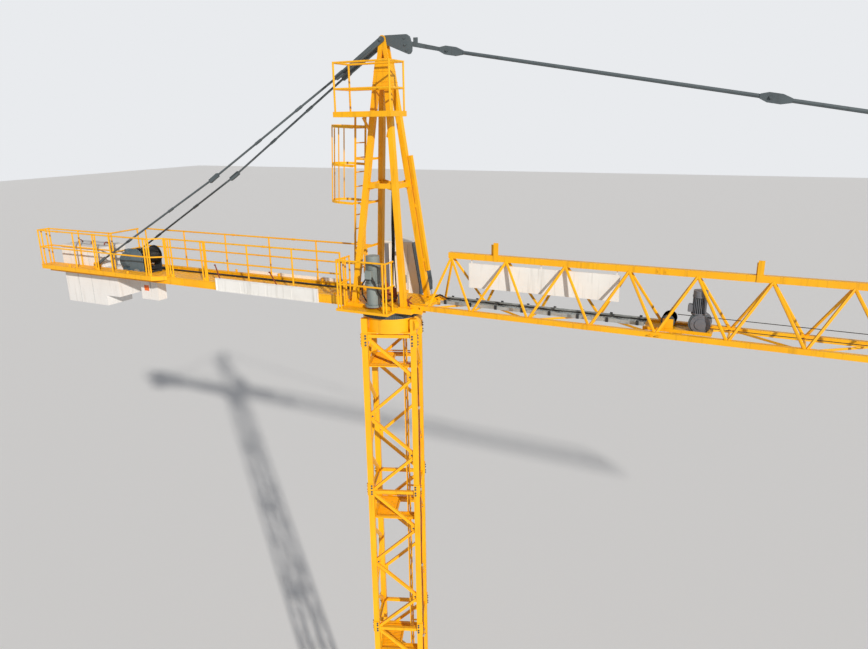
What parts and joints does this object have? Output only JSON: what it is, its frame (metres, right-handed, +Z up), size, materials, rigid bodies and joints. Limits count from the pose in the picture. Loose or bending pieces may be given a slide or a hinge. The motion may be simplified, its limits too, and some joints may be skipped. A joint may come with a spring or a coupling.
{
  "type": "tower crane, 1:2 scale model",
  "caption": "Tower crane on a cross foot with a square lattice mast, a four-leg tower head held by ties, a level triangular lattice jib and a counter-jib with concrete ballast.",
  "frame": {"origin": "centre of the foot's underside, on the slewing axis", "axes": "+X along the jib, +Y to the cab's side, +Z up"},
  "size_m": [22.5953, 2.4048, 12.648],
  "materials": {
    "yellow_paint": "satin",
    "white_paint": "satin",
    "dark_paint": "satin",
    "motor_paint": "satin",
    "window_glass": "gloss",
    "concrete": "matte",
    "galvanised": "matte",
    "wire_rope": "matte"
  },
  "bodies": {
    "tower": {"base_cross": "yellow_paint", "mast_chords": "yellow_paint", "mast_side_front": "yellow_paint", "mast_side_right": "yellow_paint", "mast_side_back": "yellow_paint", "mast_side_left": "yellow_paint", "mast_ladder": "yellow_paint", "mast_landings": "yellow_paint", "slew_support": "yellow_paint", "slew_ring_lower": "dark_paint"},
    "upper_crane": {"slew_ring_upper": "dark_paint", "slewing_platform": "yellow_paint", "platform_railing": "yellow_paint", "slewing_gear": "motor_paint", "head_legs": "yellow_paint", "head_beams": "yellow_paint", "head_top": "yellow_paint", "head_platform": "yellow_paint", "head_railing": "yellow_paint", "head_ladder": "yellow_paint", "jib_tie": "dark_paint", "counter_ties": "dark_paint", "spare_strut": "yellow_paint", "cab_body": "white_paint", "cab_windows": "window_glass", "counter_jib_frame": "yellow_paint", "counter_jib_deck": "yellow_paint", "counter_railing_near": "yellow_paint", "counter_railing_far": "yellow_paint", "hoist_frame": "dark_paint", "hoist_motor": "motor_paint", "ballast_frame": "dark_paint", "ballast_blocks": "concrete", "name_boards": "white_paint", "jib_top_chord": "yellow_paint", "jib_bottom_chords": "yellow_paint", "jib_side_near": "yellow_paint", "jib_side_far": "yellow_paint", "jib_bottom_bracing": "yellow_paint", "jib_walkway": "galvanised", "jib_board": "white_paint", "trolley_winch": "dark_paint", "jib_head": "yellow_paint", "trolley": "yellow_paint", "hook_block": "yellow_paint", "ropes": "wire_rope"},
    "hoist_drum": {"hoist_drum": "motor_paint"}
  },
  "joints": [
    {"name": "slew", "type": "hinge", "parent": "tower", "child": "upper_crane", "pos_m": [0, 0, 9.852], "axis": [0, 0, 1], "continuous": true},
    {"name": "hoist_drum_spin", "type": "hinge", "parent": "upper_crane", "child": "hoist_drum", "pos_m": [-3.695, 0, 10.1723], "axis": [0, 1, 0], "continuous": true}
  ]
}
